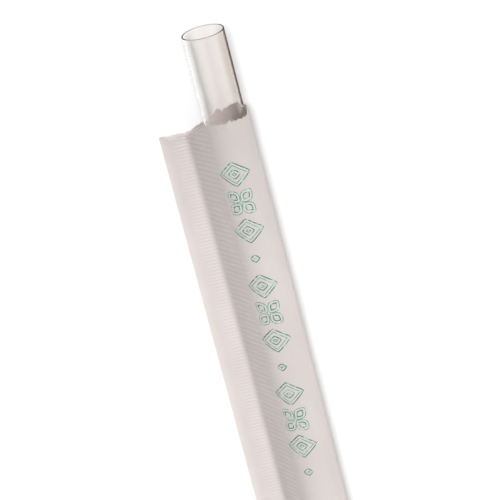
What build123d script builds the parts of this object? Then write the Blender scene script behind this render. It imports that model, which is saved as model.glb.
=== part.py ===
"""A clear drinking straw in its paper sleeve, torn open at one end. Lengths are millimetres.

The straw lies along Y with its open mouth at +Y. The sleeve is one strip of paper folded round
it: the lower layer lies flat, the upper layer is pressed onto it in a seam flange on the -X side,
rises from the seam crease and wraps over the straw. The origin is the middle of the underside.
"""

from build123d import *
import math
import os

# Straw
STRAW_DIAMETER = 6.0
STRAW_WALL = 0.2
STRAW_LENGTH = 197.0
EXPOSED_LENGTH = 13.0  # from the straw's mouth back to the nominal tear line

# Paper sleeve
PAPER = 0.06  # one layer
LOOP_CLEARANCE = 0.25  # paper to straw, on the radius
SEAT_CLEARANCE = 0.1  # straw to the lower layer
LOOP_SHIFT = 0.12  # the loop's middle beyond the straw's axis, away from the seam
CREASE_REACH = 5.73  # straw's axis to the seam crease
FLANGE_WIDTH = 3.84
END_GAP = 0.5  # straw's far end to where the sleeve starts to flatten
FLATTEN_LENGTH = 9.0
FLATTEN_SECTIONS = 6
SEAL_LENGTH = 6.0
SEAL_BULK = 0.04  # what crimping adds to the two layers' thickness

# Torn edges: (across from the straw's axis, forward of the nominal tear line)
LOWER_TEAR = [
    (-9.0, -1.2), (-8.0, -1.5), (-6.9, -1.35), (-5.9, -1.5), (-5.1, -1.35), (-4.6, -1.05),
    (-3.7, -0.75), (-2.8, -0.4), (-2.2, 0.1), (-1.4, 0.25), (-0.75, 0.85), (-0.1, 0.2),
    (0.5, 0.3), (1.3, 0.65), (2.5, 1.1), (2.9, 0.8),
]
UPPER_TEAR = [
    (-9.3, -1.45), (-8.4, -2.05), (-7.35, -2.15), (-7.1, -1.7), (-6.2, -1.8), (-5.9, -1.95),
    (-5.0, -1.6), (-4.85, -1.3), (-4.1, -0.8), (-3.75, -0.25), (-3.0, 0.05), (-2.5, 0.6),
    (-1.75, 0.55), (-1.45, 0.25), (-1.1, 0.6), (0.0, 0.5), (0.5, 0.9), (0.75, 0.5),
    (1.05, 0.75), (1.9, 0.5), (2.7, 0.4), (3.3, 0.6),
]
TEAR_MARGIN = 5.0  # how far the two cuts run past the sleeve on every side

# The sleeve's section: outer radius of the loop, and of the fold left when it lies flat
loop_radius = STRAW_DIAMETER / 2 + LOOP_CLEARANCE + PAPER
flat_radius = PAPER + SEAL_BULK / 2
loop_reach = CREASE_REACH + LOOP_SHIFT
flange_thickness = 2 * PAPER


def slope(reach, radius):
    """Angle and length of the upper layer from the crease to a loop of this radius, this far off."""
    rise = radius - flange_thickness
    distance = math.hypot(reach, rise)
    angle = math.atan2(rise, reach) + math.asin(radius / distance)
    return angle, math.sqrt(distance**2 - radius**2)


def girth(reach, radius):
    """Length of paper from crease to crease round a loop of this radius, this far off."""
    angle, length = slope(reach, radius)
    return reach + radius * (math.pi + angle) + length


def reach_for(radius):
    """How far off a loop of this radius lies, with the same paper round it as round the straw."""
    target = girth(loop_reach, loop_radius)
    near = loop_radius
    far = target
    for _ in range(60):
        middle = (near + far) / 2
        if girth(middle, radius) < target:
            near = middle
        else:
            far = middle
    return (near + far) / 2


# Overall places
flat_reach = reach_for(flat_radius)
overall_width = FLANGE_WIDTH + flat_reach + flat_radius
overall_length = STRAW_LENGTH + END_GAP + FLATTEN_LENGTH + SEAL_LENGTH
mouth_y = overall_length / 2
crease_x = FLANGE_WIDTH - overall_width / 2
axis_x = crease_x + CREASE_REACH
axis_z = PAPER + SEAT_CLEARANCE + STRAW_DIAMETER / 2
flatten_start = STRAW_LENGTH + END_GAP
seal_start = flatten_start + FLATTEN_LENGTH
foremost_tear = EXPOSED_LENGTH - TEAR_MARGIN
hollow_length = flatten_start - foremost_tear


def behind_mouth(distance):
    """The plane across the object this far behind the straw's mouth, looking towards -Y."""
    return Plane.XZ.offset(distance - mouth_y)


def outer_section(distance, reach, radius):
    """The sleeve's outer outline right of the crease, this far behind the mouth."""
    angle, length = slope(reach, radius)
    centre_x = crease_x + reach
    top = (crease_x + length * math.cos(angle), flange_thickness + length * math.sin(angle))
    with BuildSketch(behind_mouth(distance)) as section:
        with BuildLine():
            Line((crease_x, 0), (crease_x, flange_thickness))
            Line((crease_x, flange_thickness), top)
            ThreePointArc(top, (centre_x + radius, radius), (centre_x, 0))
            Line((centre_x, 0), (crease_x, 0))
        make_face()
    return section.sketch


def inner_section(distance, reach, radius):
    """The hollow inside that outline, one layer of paper in from it."""
    angle, _ = slope(reach, radius)
    centre_x = crease_x + reach
    inner_radius = radius - PAPER
    tip = (crease_x + PAPER * math.tan(angle / 2), PAPER)
    top = (centre_x - inner_radius * math.sin(angle), radius + inner_radius * math.cos(angle))
    with BuildSketch(behind_mouth(distance)) as section:
        with BuildLine():
            Line(tip, top)
            ThreePointArc(top, (centre_x + inner_radius, radius), (centre_x, PAPER))
            Line((centre_x, PAPER), tip)
        make_face()
    return section.sketch


def flattening(section):
    """The given section at each step from the round loop down to the flat end."""
    steps = []
    for step in range(FLATTEN_SECTIONS):
        share = step / (FLATTEN_SECTIONS - 1)
        fall = (1 + math.cos(math.pi * share)) / 2
        radius = flat_radius + (loop_radius - flat_radius) * fall
        distance = flatten_start + FLATTEN_LENGTH * share
        steps.append(section(distance, reach_for(radius), radius).face())
    return steps


def tear_region(edge, height):
    """Everything in front of a torn edge, seen from above, on a level plane at this height."""
    left = crease_x - FLANGE_WIDTH - TEAR_MARGIN
    right = axis_x + loop_radius + LOOP_SHIFT + TEAR_MARGIN
    tear_y = mouth_y - EXPOSED_LENGTH
    torn = [(axis_x + across, tear_y + forward) for across, forward in edge]
    front = mouth_y + TEAR_MARGIN
    outline = [(left, front), (left, torn[0][1]), *torn, (right, torn[-1][1]), (right, front)]
    with BuildSketch(Plane.XY.offset(height)) as region:
        with BuildLine():
            Polyline(*outline, close=True)
        make_face()
    return region.sketch


os.makedirs("parts", exist_ok=True)

# The straw: a plain thin tube, cut square at both ends
with BuildPart() as straw:
    with BuildSketch(behind_mouth(0)):
        with Locations((axis_x, axis_z)):
            Circle(STRAW_DIAMETER / 2)
            Circle(STRAW_DIAMETER / 2 - STRAW_WALL, mode=Mode.SUBTRACT)
    extrude(amount=STRAW_LENGTH)

# The sleeve: hollow round the straw, flattened end, end seal and seam flange, then torn open
with BuildPart() as paper_sleeve:
    extrude(outer_section(foremost_tear, loop_reach, loop_radius), amount=hollow_length)
    loft(flattening(outer_section))
    extrude(outer_section(seal_start, flat_reach, flat_radius), amount=SEAL_LENGTH)
    with BuildSketch(behind_mouth(foremost_tear)):
        with Locations((crease_x, 0)):
            Rectangle(FLANGE_WIDTH, flange_thickness, align=(Align.MAX, Align.MIN))
    extrude(amount=overall_length - foremost_tear)
    extrude(
        inner_section(foremost_tear, loop_reach, loop_radius),
        amount=hollow_length,
        mode=Mode.SUBTRACT,
    )
    loft(flattening(inner_section), mode=Mode.SUBTRACT)
    extrude(tear_region(LOWER_TEAR, -PAPER), amount=2 * PAPER, mode=Mode.SUBTRACT)
    extrude(tear_region(UPPER_TEAR, PAPER), amount=2 * loop_radius, mode=Mode.SUBTRACT)

straw.part.label = "straw"
paper_sleeve.part.label = "paper_sleeve"
export_step(straw.part, "parts/straw.step")
export_step(paper_sleeve.part, "parts/paper_sleeve.step")
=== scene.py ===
"""Looks of a clear drinking straw in its torn paper sleeve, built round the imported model.

Blender works in metres, +Z up. The straw lies along Y with its open mouth at +Y, and the sleeve's
seam flange is on the -X side. Sizes named here are millimetres, turned into metres as vertices
are written. A place along the object is given as its distance behind the straw's mouth.
"""

import math
import random
from types import SimpleNamespace

import bpy
from mathutils import Matrix, Vector, noise


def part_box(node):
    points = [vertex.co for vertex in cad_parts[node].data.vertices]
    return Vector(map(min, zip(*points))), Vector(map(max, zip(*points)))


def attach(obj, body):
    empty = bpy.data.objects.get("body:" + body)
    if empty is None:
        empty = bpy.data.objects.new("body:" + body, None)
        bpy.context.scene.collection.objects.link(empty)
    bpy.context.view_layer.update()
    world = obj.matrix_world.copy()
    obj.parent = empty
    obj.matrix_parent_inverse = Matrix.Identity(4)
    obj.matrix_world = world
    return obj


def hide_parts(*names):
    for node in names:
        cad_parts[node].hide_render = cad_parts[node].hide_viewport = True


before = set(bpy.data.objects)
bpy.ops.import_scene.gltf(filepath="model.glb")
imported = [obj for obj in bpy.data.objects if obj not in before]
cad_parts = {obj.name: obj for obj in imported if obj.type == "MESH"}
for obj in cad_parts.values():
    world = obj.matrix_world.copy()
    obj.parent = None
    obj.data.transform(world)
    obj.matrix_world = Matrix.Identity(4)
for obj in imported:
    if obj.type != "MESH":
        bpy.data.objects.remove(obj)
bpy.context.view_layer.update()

MM = 0.001
straw_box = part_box("straw")
sleeve_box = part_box("paper_sleeve")

# The straw, as packed
AXIS_X = (straw_box[0].x + straw_box[1].x) / 2 / MM
AXIS_Z = (straw_box[0].z + straw_box[1].z) / 2 / MM
MOUTH_Y = straw_box[1].y / MM
STRAW_RADIUS = 3.0
STRAW_WALL = 0.2
STRAW_LENGTH = (straw_box[1].y - straw_box[0].y) / MM

# The sleeve, as packed
PAPER = 0.06
LOOP_RADIUS = sleeve_box[1].z / MM / 2
LOOP_REACH = 5.85
FLANGE_LEFT = sleeve_box[0].x / MM
FLANGE_WIDTH = 3.84
CREASE_X = FLANGE_LEFT + FLANGE_WIDTH
FLAT_RADIUS = 0.08
SLEEVE_END = MOUTH_Y - sleeve_box[0].y / MM
SEAL_LENGTH = 6.0
FLATTEN_LENGTH = 9.0
SEAL_START = SLEEVE_END - SEAL_LENGTH
FLATTEN_START = SEAL_START - FLATTEN_LENGTH
EXPOSED_LENGTH = 13.0

# Torn edges: (across from the straw's axis, forward of the nominal tear line)
LOWER_TEAR = [
    (-9.0, -1.2), (-8.0, -1.5), (-6.9, -1.35), (-5.9, -1.5), (-5.1, -1.35), (-4.6, -1.05),
    (-3.7, -0.75), (-2.8, -0.4), (-2.2, 0.1), (-1.4, 0.25), (-0.75, 0.85), (-0.1, 0.2),
    (0.5, 0.3), (1.3, 0.65), (2.5, 1.1), (2.9, 0.8),
]
UPPER_TEAR = [
    (-9.3, -1.45), (-8.4, -2.05), (-7.35, -2.15), (-7.1, -1.7), (-6.2, -1.8), (-5.9, -1.95),
    (-5.0, -1.6), (-4.85, -1.3), (-4.1, -0.8), (-3.75, -0.25), (-3.0, 0.05), (-2.5, 0.6),
    (-1.75, 0.55), (-1.45, 0.25), (-1.1, 0.6), (0.0, 0.5), (0.5, 0.9), (0.75, 0.5),
    (1.05, 0.75), (1.9, 0.5), (2.7, 0.4), (3.3, 0.6),
]

# Crimping
ROW_STEP = 0.13
FLANGE_RIB_PITCH = 4 * ROW_STEP
SLOPE_RIB_PITCH = 6 * ROW_STEP
FLANGE_RIB_DEPTH = 0.026
SLOPE_RIB_DEPTH = 0.020
FOLD_RISE = 0.15
CREASE_BEND = 0.7  # paper each side of the upper crease that takes part in its bend
CREASE_DRIFT = 0.23  # how far the crease wanders towards the straw along the sleeve


# ---------------------------------------------------------------- small helpers


def smooth(low, high, value):
    """0 at low and past it, 1 at high and past it, and a smooth rise between them."""
    t = min(1.0, max(0.0, (value - low) / (high - low)))
    return t * t * (3 - 2 * t)


def between(points, x):
    """The value at x of a line through (x, value) points, level past its ends."""
    if x <= points[0][0]:
        return points[0][1]
    for (x0, y0), (x1, y1) in zip(points, points[1:]):
        if x <= x1:
            return y0 + (y1 - y0) * (x - x0) / (x1 - x0)
    return points[-1][1]


def ripple(a, b, seed=0.0):
    """Smooth noise from -1 to 1 over two lengths."""
    return noise.noise(Vector((a, b, seed)))


def to_frame(x, distance, z):
    """A place across, behind the mouth and above the floor, as a point in the row frame."""
    return Vector((x * MM, (MOUTH_Y - distance) * MM, z * MM))


def new_mesh(name, points, faces, corners=None):
    """A mesh object from points and faces, with an optional (u, v) for each point."""
    mesh = bpy.data.meshes.new(name)
    mesh.from_pydata(points, [], faces)
    if corners is not None:
        layer = mesh.uv_layers.new(name="UVMap")
        for loop in mesh.loops:
            layer.data[loop.index].uv = corners[loop.vertex_index]
    for polygon in mesh.polygons:
        polygon.use_smooth = True
    mesh.validate()
    mesh.update()
    mesh.set_sharp_from_angle(angle=math.radians(50))
    piece = bpy.data.objects.new(name, mesh)
    bpy.context.scene.collection.objects.link(piece)
    return piece


# ---------------------------------------------------------------- camera

CAMERA_LENS = 180
CAMERA_TILT = 21.969  # degrees from straight down, leaning past the mouth
CAMERA_ROLL = -14.545
CAMERA_DISTANCE = 351.811
TARGET = Vector((AXIS_X - 1.194, MOUTH_Y - 32.701, 3.11))


def make_camera():
    """Looks down on the torn end from beyond the mouth, with the mouth at the top."""
    tilt = math.radians(CAMERA_TILT)
    roll = math.radians(CAMERA_ROLL)
    back = Vector((0, math.sin(tilt), math.cos(tilt)))
    right = Vector((0, 1, 0)).cross(back).normalized()
    up = back.cross(right)
    turned_right = right * math.cos(roll) + up * math.sin(roll)
    turned_up = up * math.cos(roll) - right * math.sin(roll)
    place = (TARGET + back * CAMERA_DISTANCE) * MM
    data = bpy.data.cameras.new("camera")
    data.lens = CAMERA_LENS
    data.sensor_width = 36
    data.clip_start = 0.01
    data.clip_end = 20
    camera = bpy.data.objects.new("camera", data)
    rotation = Matrix((turned_right, turned_up, back)).transposed()
    camera.matrix_world = Matrix.Translation(place) @ rotation.to_4x4()
    bpy.context.scene.collection.objects.link(camera)
    bpy.context.scene.camera = camera


# ---------------------------------------------------------------- the sleeve's section


def slope(reach, radius):
    """Angle and length of the upper layer from the crease to a loop of this radius, this far off."""
    rise = radius - 2 * PAPER
    distance = math.hypot(reach, rise)
    angle = math.atan2(rise, reach) + math.asin(radius / distance)
    return angle, math.sqrt(distance**2 - radius**2)


def girth(reach, radius):
    """Length of paper from crease to crease round such a loop."""
    angle, length = slope(reach, radius)
    return reach + radius * (math.pi + angle) + length


def reach_for(radius, target):
    """How far off a loop of this radius lies with this much paper round it."""
    near, far = radius, target
    for _ in range(40):
        middle = (near + far) / 2
        if girth(middle, radius) < target:
            near = middle
        else:
            far = middle
    return (near + far) / 2


def section_at(distance):
    """The sleeve's outline this far behind the mouth."""
    drift = CREASE_DRIFT * smooth(15, 62, distance) + 0.05 * ripple(distance / 14, 0, 3.1)
    radius = LOOP_RADIUS + 0.03 * ripple(distance / 11, 0, 7.7)
    reach = LOOP_REACH - drift
    if distance > FLATTEN_START:
        share = min(1.0, (distance - FLATTEN_START) / FLATTEN_LENGTH)
        target = girth(reach, radius)
        fall = (1 + math.cos(math.pi * share)) / 2
        radius = FLAT_RADIUS + (radius - FLAT_RADIUS) * fall
        reach = reach_for(radius, target)
    angle, length = slope(reach, radius)
    return SimpleNamespace(
        crease=CREASE_X + drift,
        radius=radius,
        reach=reach,
        angle=angle,
        slope=length,
        girth=girth(reach, radius),
    )


def round_hollow(section, along):
    """Place and outward direction of the outer face, this length of paper past the upper crease."""
    centre_x = section.crease + section.reach
    turn = section.radius * (math.pi + section.angle)
    if along < section.slope:
        x = section.crease + along * math.cos(section.angle)
        z = 2 * PAPER + along * math.sin(section.angle)
        return x, z, -math.sin(section.angle), math.cos(section.angle)
    if along < section.slope + turn:
        aim = math.pi / 2 + section.angle - (along - section.slope) / section.radius
        out_x, out_z = math.cos(aim), math.sin(aim)
        return centre_x + section.radius * out_x, section.radius * (1 + out_z), out_x, out_z
    return centre_x - (along - section.slope - turn), 0.0, 0.0, -1.0


def upper_outline(section, past):
    """As round_hollow, counted from the crease both ways, with the crease eased into a bend."""
    if past >= CREASE_BEND:
        return round_hollow(section, past)
    if past <= -CREASE_BEND:
        return section.crease + past, 2 * PAPER, 0.0, 1.0
    end_x, end_z, _, _ = round_hollow(section, CREASE_BEND)
    start = Vector((section.crease - CREASE_BEND, 2 * PAPER))
    corner, end = Vector((section.crease, 2 * PAPER)), Vector((end_x, end_z))
    share = (past + CREASE_BEND) / (2 * CREASE_BEND)
    place = start * (1 - share)**2 + corner * 2 * share * (1 - share) + end * share**2
    way = ((corner - start) * (1 - share) + (end - corner) * share).normalized()
    return place.x, place.y, -way.y, way.x


# ---------------------------------------------------------------- relief in the paper


def rib(distance, pitch):
    return math.sin(2 * math.pi * distance / pitch)


def seal_share(distance):
    return smooth(SEAL_START - 0.2, SEAL_START + 0.4, distance)


def flange_relief(depth, distance):
    """How far the crimped flange stands up, this far in from its outer edge."""
    pressed = smooth(1.2, 2.6, depth) * (1 - smooth(FLANGE_WIDTH - 0.1, FLANGE_WIDTH + 0.1, depth))
    pressed = max(pressed, seal_share(distance))
    return FLANGE_RIB_DEPTH * pressed * rib(distance, FLANGE_RIB_PITCH)


def hollow_relief(along, distance, total):
    """How far the paper round the straw stands out from its plain outline."""
    from_crease = min(along, total - along)
    pressed = (1 - smooth(3.0, 8.5, from_crease)) * smooth(0.1, 0.6, from_crease)
    ribs = SLOPE_RIB_DEPTH * pressed * rib(distance, SLOPE_RIB_PITCH)
    seal = seal_share(distance)
    ribs = ribs * (1 - seal) + FLANGE_RIB_DEPTH * seal * rib(distance, FLANGE_RIB_PITCH)
    soft = 0.02 * ripple(along / 2.5, distance / 7, 1.0) + 0.008 * ripple(along, distance / 1.6, 2.0)
    crumple = smooth(FLATTEN_START - 3, FLATTEN_START + 3, distance) * (1 - seal)
    folds = 0.10 * crumple * ripple(along / 1.7, distance / 4.5, 5.0)
    edge = smooth(0.0, 0.8, along) * smooth(0.0, 0.8, total - along)
    return ribs + (soft * (1 - seal) + folds) * edge


def side_fold(along, distance, total):
    """The fold on the side away from the flange, left from when the sleeve lay flat."""
    past = along - total / 2
    width = 0.34 if past > 0 else 0.55
    fade = 1 - smooth(FLATTEN_START - 8, FLATTEN_START, distance)
    return FOLD_RISE * fade * max(0.0, 1 - abs(past) / width)


# ---------------------------------------------------------------- columns of the sheet

FLANGE_STEPS = 24
HOLLOW_STEPS = 162
COLUMNS = 2 * FLANGE_STEPS + HOLLOW_STEPS
FOLD_COLUMN = COLUMNS // 2
LONG_COLUMNS = [  # the columns that go on past the torn end: one in three, and all at the folds
    column for column in range(COLUMNS + 1)
    if column % 3 == 0 or abs(column - FLANGE_STEPS) <= 5 or abs(column - FOLD_COLUMN) <= 4
]
HEAD_ROWS = 32
BODY_ROWS = 1504
HEAD_END = SLEEVE_END - BODY_ROWS * ROW_STEP
GLUE_GAP = 0.002  # between the two pressed layers


def sheet_point(column, distance):
    """Outer and inner point of the sheet at a column, as (x, z), with the outward direction.

    Columns run from the upper layer's outer edge over the straw to the lower layer's outer edge.
    """
    section = section_at(distance)
    width = section.crease - FLANGE_LEFT
    if column > FLANGE_STEPS + HOLLOW_STEPS:
        depth = width * (COLUMNS - column) / FLANGE_STEPS
        x = FLANGE_LEFT + depth
        z = (FLANGE_RIB_DEPTH + flange_relief(depth, distance)) * smooth(1.0, 2.0, depth)
        return (x, z), (x, PAPER - GLUE_GAP), (0.0, -1.0)
    if column < FLANGE_STEPS:
        depth = width * column / FLANGE_STEPS
        x, z, out_x, out_z = upper_outline(section, depth - width)
        rise = flange_relief(depth, distance)
    else:
        along = section.girth * (column - FLANGE_STEPS) / HOLLOW_STEPS
        x, z, out_x, out_z = upper_outline(section, along)
        rise = hollow_relief(along, distance, section.girth)
        rise += side_fold(along, distance, section.girth)
        if out_z < -0.5:
            rise = min(0.0, rise - SLOPE_RIB_DEPTH)
    inner_x, inner_z = x - out_x * PAPER, z - out_z * PAPER
    if column < FLANGE_STEPS + HOLLOW_STEPS / 2:
        inner_z = max(inner_z, PAPER) + GLUE_GAP
    else:
        inner_z -= GLUE_GAP * smooth(0.5, 1.0, -out_z)
    x, z = x + out_x * rise, max(0.0, z + out_z * rise)
    follow = rise if column > FLANGE_STEPS else 0.0
    return (x, z), (inner_x + out_x * follow, inner_z + out_z * follow), (out_x, out_z)


def tear_distance(column):
    """How far behind the mouth the sheet is torn off at a column."""
    (x, z), _, (_, out_z) = sheet_point(column, EXPOSED_LENGTH + 1.5)
    across = x - AXIS_X
    lower = smooth(0.0, 0.9, -out_z)
    forward = between(UPPER_TEAR, across) * (1 - lower) + between(LOWER_TEAR, across) * lower
    if across > 0:
        forward += 0.55 * smooth(0.50, 0.12, out_z) * (1 - 0.5 * lower)
    jag = 0.16 * ripple(column / 2.9, 0, 11.3) + 0.10 * ripple(column / 1.3, 0, 12.7)
    return EXPOSED_LENGTH - forward + jag


# ---------------------------------------------------------------- the paper sleeve


class Sheet:
    """The sleeve's folded paper as one closed thin shell: an outer side, an inner side and rims."""

    def __init__(self):
        self.points = []
        self.faces = []
        self.corners = []
        self.index = {}
        self.tears = [tear_distance(column) for column in range(COLUMNS + 1)]

    def distance(self, column, row):
        if row >= 0:
            return HEAD_END + row * ROW_STEP
        tear = self.tears[column]
        return tear + (HEAD_END - tear) * (1 + row / HEAD_ROWS)

    def vertex(self, side, column, row):
        """The number of the point there, made when it is first asked for."""
        key = (side, column, row)
        if key not in self.index:
            distance = self.distance(column, row)
            outer, inner, (out_x, out_z) = sheet_point(column, distance)
            x, z = outer if side == "outer" else inner
            lift = self.curl(column, distance)
            x, z = x + out_x * lift, z + out_z * lift
            self.index[key] = len(self.points)
            self.points.append(to_frame(x, distance, z))
            self.corners.append((column / COLUMNS if side == "outer" else 0.0, distance / SLEEVE_END))
        return self.index[key]

    def curl(self, column, distance):
        """The upper layer's torn edge stands a little off what is under it."""
        if column > FLANGE_STEPS + HOLLOW_STEPS * 0.55:
            return 0.0
        near = 1 - smooth(0.0, 1.3, distance - self.tears[column])
        side = 1 - smooth(FLANGE_STEPS + 60, FLANGE_STEPS + 78, column)
        return near * near * side * (0.07 + 0.08 * ripple(column / 9, 0, 21.0))

    def rows(self, side, column):
        """The rows past the torn end that a column has: all where ribs need them, else fewer."""
        every = 1
        if side == "inner":
            every = 8
        elif FLANGE_STEPS + 60 < column < FLANGE_STEPS + HOLLOW_STEPS:
            every = 4
        tail = BODY_ROWS - 48
        return [row for row in range(BODY_ROWS + 1) if row % every == 0 or (row > tail and side == "outer")]

    def strip(self, first, second, between_points=()):
        """Faces between two columns, each a (side, column). They meet wherever both have a row."""
        rows_a, rows_b = self.rows(*first), self.rows(*second)
        shared = sorted(set(rows_a) & set(rows_b))
        at_a = at_b = 0
        for low, high in zip(shared, shared[1:]):
            line_a, line_b = [], []
            while at_a < len(rows_a) and rows_a[at_a] <= high:
                line_a.append(self.vertex(*first, rows_a[at_a]))
                at_a += 1
            at_a -= 1
            while at_b < len(rows_b) and rows_b[at_b] <= high:
                line_b.append(self.vertex(*second, rows_b[at_b]))
                at_b += 1
            at_b -= 1
            extra = [self.vertex(*p, 0) for p in between_points] if low == 0 else []
            self.faces.append(line_a + line_b[::-1] + extra[::-1])

    def side(self, side):
        for column in range(COLUMNS):
            for row in range(-HEAD_ROWS, 0):
                self.faces.append([
                    self.vertex(side, column, row), self.vertex(side, column, row + 1),
                    self.vertex(side, column + 1, row + 1), self.vertex(side, column + 1, row),
                ])
        for column, other in zip(LONG_COLUMNS, LONG_COLUMNS[1:]):
            self.strip((side, column), (side, other), [(side, k) for k in range(column + 1, other)])

    def rims(self):
        for column in range(COLUMNS):
            self.faces.append([
                self.vertex("outer", column, -HEAD_ROWS), self.vertex("outer", column + 1, -HEAD_ROWS),
                self.vertex("inner", column + 1, -HEAD_ROWS), self.vertex("inner", column, -HEAD_ROWS),
            ])
        for column, other in zip(LONG_COLUMNS, LONG_COLUMNS[1:]):
            self.faces.append([
                self.vertex("outer", column, BODY_ROWS), self.vertex("outer", other, BODY_ROWS),
                self.vertex("inner", other, BODY_ROWS), self.vertex("inner", column, BODY_ROWS),
            ])
        for column in (0, COLUMNS):
            for row in range(-HEAD_ROWS, 0):
                self.faces.append([
                    self.vertex("outer", column, row), self.vertex("outer", column, row + 1),
                    self.vertex("inner", column, row + 1), self.vertex("inner", column, row),
                ])
            self.strip(("outer", column), ("inner", column))

    def build(self):
        self.side("outer")
        self.side("inner")
        self.rims()
        return new_mesh("torn_paper_sleeve", self.points, self.faces, self.corners)


def outward(piece):
    """Turns every face of a closed mesh to face out."""
    import bmesh
    work = bmesh.new()
    work.from_mesh(piece.data)
    bmesh.ops.recalc_face_normals(work, faces=work.faces)
    work.to_mesh(piece.data)
    work.free()


# ---------------------------------------------------------------- print on the sleeve

INK_WIDTH = 0.50
PRINT_MIDDLE = 8.33  # paper from the crease to the row's middle
PRINT_START = 19.9
PRINT_PITCH = 4.3


def on_paper(along, distance, lift):
    """A point on the sleeve's outer face, lifted off it."""
    section = section_at(distance)
    x, z, out_x, out_z = round_hollow(section, along)
    rise = hollow_relief(along, distance, section.girth) + lift
    return to_frame(x + out_x * rise, distance, z + out_z * rise)


def lens(length, width, turn, offset=0.0, steps=14):
    """A closed pointed oval outline, its near tip at offset, turned about the motif's middle."""
    outline = []
    for step in range(2 * steps):
        side = 1 if step < steps else -1
        share = (step % steps) / steps
        if side < 0:
            share = 1 - share
        swell = side * width / 2 * math.sin(math.pi * share)
        reach = offset + length * share
        outline.append((
            reach * math.cos(turn) - swell * math.sin(turn),
            reach * math.sin(turn) + swell * math.cos(turn),
        ))
    return outline


def lozenge(width, height, steps=6):
    """A closed diamond outline."""
    tips = [(0, -height / 2), (width / 2, 0), (0, height / 2), (-width / 2, 0)]
    outline = []
    for (x0, y0), (x1, y1) in zip(tips, tips[1:] + tips[:1]):
        for step in range(steps):
            share = step / steps
            outline.append((x0 + (x1 - x0) * share, y0 + (y1 - y0) * share))
    return outline


def motif_flower():
    return [lens(1.75, 1.25, math.radians(45 + 90 * k), 0.42) for k in range(4)]


def motif_lozenge():
    return [lozenge(3.3, 4.1), lozenge(1.0, 1.3, steps=3)]


def motif_dot():
    return [lozenge(0.75, 0.95, steps=2)]


def ribbon(outline, middle, along, points, faces, corners):
    """Adds one closed stroke of ink, a thin band that follows the paper."""
    count = len(outline)
    cross = 4
    lifts = (0.010, 0.003)
    first = len(points)
    for k in range(count):
        before, here, after = outline[k - 1], outline[k], outline[(k + 1) % count]
        way = Vector((after[0] - before[0], after[1] - before[1])).normalized()
        sideways = Vector((-way.y, way.x))
        for layer in lifts:
            for j in range(cross + 1):
                share = j / cross
                shift = sideways * INK_WIDTH * (share - 0.5)
                points.append(on_paper(along + here[1] + shift.y, middle + here[0] + shift.x, layer))
                corners.append((share, k / count))
    size = 2 * (cross + 1)
    for k in range(count):
        a = first + k * size
        b = first + ((k + 1) % count) * size
        for j in range(cross):
            faces.append([a + j, a + j + 1, b + j + 1, b + j])
            faces.append([a + cross + 1 + j, b + cross + 1 + j, b + cross + 2 + j, a + cross + 2 + j])
        faces.append([a, b, b + cross + 1, a + cross + 1])
        faces.append([a + cross, a + 2 * cross + 1, b + 2 * cross + 1, b + cross])


def make_print():
    """A row of plain ornaments: lozenges and four-petal flowers with a dot between groups."""
    points, faces, corners = [], [], []
    distance = PRINT_START
    place = 0
    while distance < FLATTEN_START - 6:
        along = PRINT_MIDDLE - 0.5 * smooth(20, 62, distance)
        kind = place % 13
        if kind == 12:
            shapes = []
        elif kind % 4 == 3:
            shapes = motif_dot()
        elif kind % 2 == 0:
            shapes = motif_lozenge()
        else:
            shapes = motif_flower()
        for shape in shapes:
            ribbon(shape, distance, along, points, faces, corners)
        distance += PRINT_PITCH
        place += 1
    return new_mesh("printed_ornaments", points, faces, corners)


# ---------------------------------------------------------------- torn fibres


def make_fibres(sheet):
    """Fine paper fibres that stand out of the torn edge."""
    draw = random.Random(5)
    points, faces = [], []
    for _ in range(520):
        column = draw.uniform(1, COLUMNS - 1)
        near = int(column)
        tear = sheet.tears[near] + (sheet.tears[near + 1] - sheet.tears[near]) * (column - near)
        outer, inner, (out_x, out_z) = sheet_point(near, tear)
        lift = sheet.curl(near, tear)
        x = (outer[0] + inner[0]) / 2 + out_x * lift
        z = (outer[1] + inner[1]) / 2 + out_z * lift
        length = draw.uniform(0.08, 0.42)
        thick = draw.uniform(0.008, 0.016)
        swing = draw.uniform(-0.9, 0.9)
        rise = draw.uniform(-0.05, 0.30)
        first = len(points)
        steps = 4
        for step in range(steps + 1):
            share = step / steps
            run = length * share
            bend = swing * run * (0.4 + 0.6 * share)
            px = x + bend * out_z if abs(out_z) > 0.5 else x
            pz = max(0.02, z + rise * run + (bend * -out_x if abs(out_z) <= 0.5 else 0))
            radius = thick * (1 - 0.7 * share)
            for side in range(3):
                aim = 2 * math.pi * side / 3
                points.append(to_frame(
                    px + radius * math.cos(aim), tear + 0.03 - run, pz + radius * math.sin(aim)
                ))
        for step in range(steps):
            a = first + 3 * step
            for side in range(3):
                b = (side + 1) % 3
                faces.append([a + side, a + b, a + 3 + b, a + 3 + side])
        faces.append([first + 2, first + 1, first])
        faces.append([first + 3 * steps, first + 3 * steps + 1, first + 3 * steps + 2])
    return new_mesh("torn_fibres", points, faces)


# ---------------------------------------------------------------- the straw

AROUND = 160


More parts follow.
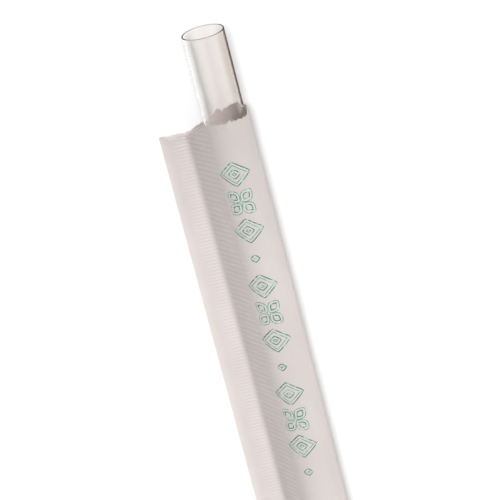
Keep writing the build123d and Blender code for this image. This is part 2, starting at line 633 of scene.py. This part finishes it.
def make_straw():
    """A thin tube with rounded rims, drawn as one closed loop swept round the axis."""
    rim = STRAW_WALL / 2
    close = [rim, rim + 0.01, rim + 0.05, 0.5]
    middle = [1.5 + (STRAW_LENGTH - 3) * step / 40 for step in range(41)]
    stations = close + middle + [STRAW_LENGTH - distance for distance in reversed(close)]
    inner = STRAW_RADIUS - STRAW_WALL
    outline = [(STRAW_RADIUS, distance) for distance in stations]
    for step in range(1, 8):
        aim = math.pi * step / 8
        outline.append((inner + rim + rim * math.cos(aim), STRAW_LENGTH - rim + rim * math.sin(aim)))
    outline += [(inner, distance) for distance in reversed(stations)]
    for step in range(1, 8):
        aim = math.pi * step / 8
        outline.append((inner + rim - rim * math.cos(aim), rim - rim * math.sin(aim)))
    points, faces, corners = [], [], []
    for turn in range(AROUND):
        aim = 2 * math.pi * turn / AROUND
        oval = 1 + 0.004 * math.cos(2 * aim + 0.8)
        for radius, distance in outline:
            reach = radius * oval
            points.append(to_frame(
                AXIS_X + reach * math.sin(aim), distance, AXIS_Z + reach * math.cos(aim)
            ))
            corners.append(((1 + math.sin(aim)) / 2, distance / STRAW_LENGTH))
    size = len(outline)
    for turn in range(AROUND):
        a = turn * size
        b = ((turn + 1) % AROUND) * size
        for k in range(size):
            n = (k + 1) % size
            faces.append([a + k, b + k, b + n, a + n])
    return new_mesh("clear_straw", points, faces, corners)


# ---------------------------------------------------------------- materials


def node_tree(name):
    material = bpy.data.materials.new(name)
    material.use_nodes = True
    nodes = material.node_tree.nodes
    nodes.clear()
    return material, nodes, material.node_tree.links


def noise_node(nodes, links, coordinates, scale, detail=3.0, stretch=(1, 1, 1)):
    """A noise texture over the object's own coordinates, in features per metre."""
    mapping = nodes.new("ShaderNodeMapping")
    mapping.inputs["Scale"].default_value = stretch
    links.new(coordinates, mapping.inputs["Vector"])
    texture = nodes.new("ShaderNodeTexNoise")
    texture.inputs["Scale"].default_value = scale
    texture.inputs["Detail"].default_value = detail
    links.new(mapping.outputs["Vector"], texture.inputs["Vector"])
    return texture.outputs["Fac"]


def ramp_node(nodes, links, factor, stops):
    ramp = nodes.new("ShaderNodeValToRGB")
    elements = ramp.color_ramp.elements
    while len(elements) > 1:
        elements.remove(elements[-1])
    elements[0].position = stops[0][0]
    elements[0].color = (*stops[0][1], 1)
    for position, colour in stops[1:]:
        elements.new(position).color = (*colour, 1)
    links.new(factor, ramp.inputs["Fac"])
    return ramp.outputs["Color"]


def range_node(nodes, links, factor, low, high, start=0.0, end=1.0):
    """Maps start..end to low..high."""
    node = nodes.new("ShaderNodeMapRange")
    node.inputs["From Min"].default_value = start
    node.inputs["From Max"].default_value = end
    node.inputs["To Min"].default_value = low
    node.inputs["To Max"].default_value = high
    links.new(factor, node.inputs["Value"])
    return node.outputs["Result"]


def bump_node(nodes, links, height, distance, strength=1.0, normal=None):
    node = nodes.new("ShaderNodeBump")
    node.inputs["Strength"].default_value = strength
    node.inputs["Distance"].default_value = distance
    links.new(height, node.inputs["Height"])
    if normal is not None:
        links.new(normal, node.inputs["Normal"])
    return node.outputs["Normal"]


def paper_material():
    """Thin matt wrapping paper: faint cloudiness, fine fibres, and some light let through.

    Painted light makes it palest where it lies double and along the flange's outer edge, and painted shade
    makes it dimmest by the open torn end.
    """
    material, nodes, links = node_tree("wrapping_paper")
    coordinates = nodes.new("ShaderNodeTexCoord")
    place = coordinates.outputs["Object"]
    cloud = noise_node(nodes, links, place, 260, 4, (1, 0.5, 1))
    warm = noise_node(nodes, links, place, 190, 2)
    fibre = noise_node(nodes, links, place, 5200, 3, (1, 0.45, 1))
    fine = noise_node(nodes, links, place, 1500, 2)
    colour = ramp_node(nodes, links, cloud, [
        (0.30, (0.860, 0.788, 0.768)), (0.52, (0.885, 0.812, 0.790)), (0.75, (0.910, 0.838, 0.815)),
    ])
    cool = nodes.new("ShaderNodeMix")
    cool.data_type = "RGBA"
    cool.blend_type = "MULTIPLY"
    links.new(range_node(nodes, links, warm, 0.0, 1.0, 0.45, 0.65), cool.inputs["Factor"])
    links.new(colour, cool.inputs["A"])
    cool.inputs["B"].default_value = (0.990, 1.008, 0.992, 1)
    split = nodes.new("ShaderNodeSeparateXYZ")
    links.new(coordinates.outputs["UV"], split.inputs["Vector"])
    # Painted light across the sheet: palest along the flange's outer edge as a painted fade into the white
    # table, paler on the pressed flange, darker where one layer lies over the straw.
    painted_layer_light = ramp_node(nodes, links, split.outputs["X"], [
        (0.0, (1.0, 1.0, 1.0)), (0.018, (0.95, 0.95, 0.955)), (0.036, (0.91, 0.91, 0.915)),
        (0.105, (0.93, 0.93, 0.93)), (0.125, (0.87, 0.87, 0.87)),
        (0.88, (0.87, 0.87, 0.87)), (0.89, (0.92, 0.92, 0.92)),
    ])
    # Painted shade: darker towards the open torn end.
    painted_shade_by_tear = ramp_node(nodes, links, split.outputs["Y"], [
        (0.06, (0.90, 0.90, 0.905)), (0.10, (0.95, 0.95, 0.955)), (0.17, (1.0, 1.0, 1.0)),
    ])
    for shade in (painted_layer_light, painted_shade_by_tear):
        step = nodes.new("ShaderNodeMix")
        step.data_type = "RGBA"
        step.blend_type = "MULTIPLY"
        step.inputs["Factor"].default_value = 1.0
        links.new(cool.outputs["Result"], step.inputs["A"])
        links.new(shade, step.inputs["B"])
        cool = step
    colour = cool.outputs["Result"]
    shader = nodes.new("ShaderNodeBsdfPrincipled")
    links.new(colour, shader.inputs["Base Color"])
    links.new(range_node(nodes, links, fine, 0.62, 0.82), shader.inputs["Roughness"])
    shader.inputs["Specular IOR Level"].default_value = 0.25
    normal = bump_node(nodes, links, fine, 0.000012, 0.6)
    normal = bump_node(nodes, links, fibre, 0.000006, 0.6, normal)
    links.new(normal, shader.inputs["Normal"])
    through = nodes.new("ShaderNodeBsdfTranslucent")
    links.new(colour, through.inputs["Color"])
    mix = nodes.new("ShaderNodeMixShader")
    mix.inputs["Fac"].default_value = 0.22
    links.new(shader.outputs["BSDF"], mix.inputs[1])
    links.new(through.outputs["BSDF"], mix.inputs[2])
    output = nodes.new("ShaderNodeOutputMaterial")
    links.new(mix.outputs["Shader"], output.inputs["Surface"])
    return material


def ink_material():
    """Teal print, pale in the middle of each stroke, with a dark broken line at its edges."""
    material, nodes, links = node_tree("teal_ink")
    coordinates = nodes.new("ShaderNodeTexCoord")
    split = nodes.new("ShaderNodeSeparateXYZ")
    links.new(coordinates.outputs["UV"], split.inputs["Vector"])
    patch = noise_node(nodes, links, coordinates.outputs["Object"], 1900, 2)
    speck = noise_node(nodes, links, coordinates.outputs["Object"], 5200, 1)
    across = nodes.new("ShaderNodeMath")
    across.operation = "PINGPONG"
    links.new(split.outputs["X"], across.inputs[0])
    across.inputs[1].default_value = 0.56
    rim = range_node(nodes, links, across.outputs["Value"], 1.0, 0.0, 0.20, 0.36)
    broken = range_node(nodes, links, patch, 0.25, 1.0, 0.36, 0.50)
    dark = nodes.new("ShaderNodeMath")
    dark.operation = "MULTIPLY"
    links.new(rim, dark.inputs[0])
    links.new(broken, dark.inputs[1])
    pale = ramp_node(nodes, links, speck, [(0.35, (0.47, 0.585, 0.525)), (0.65, (0.59, 0.68, 0.62))])
    colour = nodes.new("ShaderNodeMix")
    colour.data_type = "RGBA"
    links.new(dark.outputs["Value"], colour.inputs["Factor"])
    links.new(pale, colour.inputs["A"])
    colour.inputs["B"].default_value = (0.03, 0.12, 0.09, 1)
    shader = nodes.new("ShaderNodeBsdfPrincipled")
    links.new(colour.outputs["Result"], shader.inputs["Base Color"])
    links.new(range_node(nodes, links, patch, 0.5, 0.75), shader.inputs["Roughness"])
    links.new(bump_node(nodes, links, patch, 0.000006, 0.5), shader.inputs["Normal"])
    output = nodes.new("ShaderNodeOutputMaterial")
    links.new(shader.outputs["BSDF"], output.inputs["Surface"])
    return material


def fibre_material():
    """Bare paper pulp."""
    material, nodes, links = node_tree("paper_fibre")
    place = nodes.new("ShaderNodeTexCoord").outputs["Object"]
    patch = noise_node(nodes, links, place, 3000, 2)
    shader = nodes.new("ShaderNodeBsdfPrincipled")
    colour = ramp_node(nodes, links, patch, [(0.3, (0.74, 0.70, 0.685)), (0.7, (0.84, 0.81, 0.80))])
    links.new(colour, shader.inputs["Base Color"])
    links.new(range_node(nodes, links, patch, 0.7, 0.9), shader.inputs["Roughness"])
    links.new(bump_node(nodes, links, patch, 0.000004, 0.5), shader.inputs["Normal"])
    output = nodes.new("ShaderNodeOutputMaterial")
    links.new(shader.outputs["BSDF"], output.inputs["Surface"])
    return material


def straw_material():
    """Clear extruded plastic: faint lines along its length, painted shade that greys it away from the flange
    side, and frosted cut ends.
    """
    material, nodes, links = node_tree("clear_plastic")
    coordinates = nodes.new("ShaderNodeTexCoord")
    split = nodes.new("ShaderNodeSeparateXYZ")
    links.new(coordinates.outputs["UV"], split.inputs["Vector"])
    streak = noise_node(nodes, links, coordinates.outputs["UV"], 16, 2, (1, 0.12, 1))
    fine = noise_node(nodes, links, coordinates.outputs["Object"], 900, 2, (1, 0.08, 1))
    wander = nodes.new("ShaderNodeMath")
    wander.operation = "MULTIPLY_ADD"
    links.new(streak, wander.inputs[0])
    wander.inputs[1].default_value = 0.06
    links.new(split.outputs["X"], wander.inputs[2])
    # Painted shade round the straw: clear on the side towards the flange, greyer across the middle and
    # darkest on the far side; the streak noise adds faint lines along its length.
    streaks_and_painted_shade = ramp_node(nodes, links, wander.outputs["Value"], [
        (0.16, (1.0, 1.0, 0.995)), (0.22, (1.0, 0.990, 0.975)), (0.40, (0.995, 0.965, 0.950)),
        (0.56, (0.955, 0.925, 0.915)), (0.68, (0.970, 0.942, 0.928)), (0.80, (0.985, 0.955, 0.930)),
        (0.93, (0.925, 0.885, 0.850)), (1.0, (0.90, 0.86, 0.82)),
    ])
    ends = nodes.new("ShaderNodeMath")
    ends.operation = "PINGPONG"
    links.new(split.outputs["Y"], ends.inputs[0])
    ends.inputs[1].default_value = 0.5
    cut = range_node(nodes, links, ends.outputs["Value"], 1.0, 0.0, 0.10 / STRAW_LENGTH, 0.14 / STRAW_LENGTH)
    colour = nodes.new("ShaderNodeMix")
    colour.data_type = "RGBA"
    links.new(cut, colour.inputs["Factor"])
    links.new(streaks_and_painted_shade, colour.inputs["A"])
    colour.inputs["B"].default_value = (0.62, 0.60, 0.58, 1)
    rough = nodes.new("ShaderNodeMath")
    rough.operation = "MAXIMUM"
    links.new(range_node(nodes, links, fine, 0.015, 0.05), rough.inputs[0])
    links.new(range_node(nodes, links, cut, 0.0, 0.35), rough.inputs[1])
    shader = nodes.new("ShaderNodeBsdfPrincipled")
    links.new(colour.outputs["Result"], shader.inputs["Base Color"])
    shader.inputs["Transmission Weight"].default_value = 1.0
    shader.inputs["IOR"].default_value = 1.46
    links.new(rough.outputs["Value"], shader.inputs["Roughness"])
    links.new(bump_node(nodes, links, fine, 0.000004, 0.4), shader.inputs["Normal"])
    facing = nodes.new("ShaderNodeLayerWeight")
    facing.inputs["Blend"].default_value = 0.5
    through = ramp_node(nodes, links, facing.outputs["Facing"], [
        (0.0, (1.0, 0.997, 0.994)), (0.25, (0.975, 0.970, 0.965)), (0.6, (0.70, 0.69, 0.68)),
        (1.0, (0.45, 0.44, 0.43)),
    ])
    clear = nodes.new("ShaderNodeBsdfTransparent")
    links.new(through, clear.inputs["Color"])
    rays = nodes.new("ShaderNodeLightPath")
    lets_by = nodes.new("ShaderNodeMath")
    lets_by.operation = "MAXIMUM"
    links.new(rays.outputs["Is Shadow Ray"], lets_by.inputs[0])
    links.new(rays.outputs["Is Diffuse Ray"], lets_by.inputs[1])
    mix = nodes.new("ShaderNodeMixShader")
    links.new(lets_by.outputs["Value"], mix.inputs["Fac"])
    links.new(shader.outputs["BSDF"], mix.inputs[1])
    links.new(clear.outputs["BSDF"], mix.inputs[2])
    output = nodes.new("ShaderNodeOutputMaterial")
    links.new(mix.outputs["Shader"], output.inputs["Surface"])
    return material


# ---------------------------------------------------------------- studio


def plain_material(name, colour):
    material, nodes, links = node_tree(name)
    shader = nodes.new("ShaderNodeBsdfPrincipled")
    shader.inputs["Base Color"].default_value = (*colour, 1)
    shader.inputs["Roughness"].default_value = 0.9
    shader.inputs["Specular IOR Level"].default_value = 0.1
    output = nodes.new("ShaderNodeOutputMaterial")
    links.new(shader.outputs["BSDF"], output.inputs["Surface"])
    return material


def make_sun(name, strength, spread, way, lit):
    """A distant lamp shining from way, on the table alone or on everything but the table."""
    data = bpy.data.lights.new(name, "SUN")
    data.energy = strength
    data.angle = math.radians(spread)
    lamp = bpy.data.objects.new(name, data)
    lamp.rotation_mode = "QUATERNION"
    lamp.rotation_quaternion = Vector(way).to_track_quat("Z", "Y")
    bpy.context.scene.collection.objects.link(lamp)
    lamp.light_linking.receiver_collection = lit
    data.cycles.use_multiple_importance_sampling = False


def make_studio():
    """A white table under an even sky that is brighter to the right, and a lamp for each of the two."""
    scene = bpy.context.scene
    scene.view_settings.view_transform = "Standard"
    half = 3.0
    floor = new_mesh("floor", [(-half, -half, 0), (half, -half, 0), (half, half, 0), (-half, half, 0)],
                     [(0, 1, 2, 3)])
    floor.data.materials.append(plain_material("white_table", (0.8, 0.8, 0.8)))

    world = bpy.data.worlds.new("studio")
    scene.world = world
    world.use_nodes = True
    nodes, links = world.node_tree.nodes, world.node_tree.links
    nodes.clear()
    split = nodes.new("ShaderNodeSeparateXYZ")
    links.new(nodes.new("ShaderNodeTexCoord").outputs["Generated"], split.inputs["Vector"])
    side = range_node(nodes, links, split.outputs["X"], 0.0, 1.0, -1.0, 1.0)
    colour = ramp_node(nodes, links, side, [
        (0.0, (0.40, 0.40, 0.40)), (0.5, (0.44, 0.44, 0.44)), (1.0, (0.58, 0.58, 0.58)),
    ])
    sky = nodes.new("ShaderNodeBackground")
    links.new(colour, sky.inputs["Color"])
    output = nodes.new("ShaderNodeOutputWorld")
    links.new(sky.outputs["Background"], output.inputs["Surface"])

    table = bpy.data.collections.new("table")
    table.objects.link(floor)
    rest = bpy.data.collections.new("not_table")
    rest.objects.link(floor)
    rest.collection_objects[0].light_linking.link_state = "EXCLUDE"
    make_sun("key", 2.2, 24, (0.30, 0.50, 0.82), rest)
    make_sun("fill", 0.62, 60, (-0.70, 0.20, 0.70), rest)
    make_sun("table_lamp", 3.0, 26, (-0.11, 0.42, 1.0), table)

    # A dark card on the table beside the bare straw, seen only in the straw's own edge: a painted shadow
    # reflection that darkens the straw's edge away from the flange, standing in for shade on the table.
    near, far = AXIS_X * MM + 0.0034, AXIS_X * MM + 0.0075
    low, high = (MOUTH_Y - EXPOSED_LENGTH) * MM, (MOUTH_Y + 240) * MM
    edge_shade_card = new_mesh("edge_shade_card", [
        (near, low, 0.0001), (far, low, 0.0001), (far, high, 0.0001), (near, high, 0.0001)
    ], [(0, 1, 2, 3)])
    edge_shade_card.data.materials.append(plain_material("painted_edge_shade", (0.16, 0.13, 0.115)))
    edge_shade_card.visible_camera = False
    edge_shade_card.visible_diffuse = False
    edge_shade_card.visible_shadow = False


# ---------------------------------------------------------------- making it

make_camera()
make_studio()

sheet = Sheet()
sleeve = sheet.build()
outward(sleeve)
sleeve.data.materials.append(paper_material())
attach(sleeve, "sleeve")
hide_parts("paper_sleeve")

ornaments = make_print()
ornaments.data.materials.append(ink_material())
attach(ornaments, "sleeve")

fibres = make_fibres(sheet)
fibres.data.materials.append(fibre_material())
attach(fibres, "sleeve")

straw = make_straw()
outward(straw)
straw.data.materials.append(straw_material())
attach(straw, "straw")
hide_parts("straw")
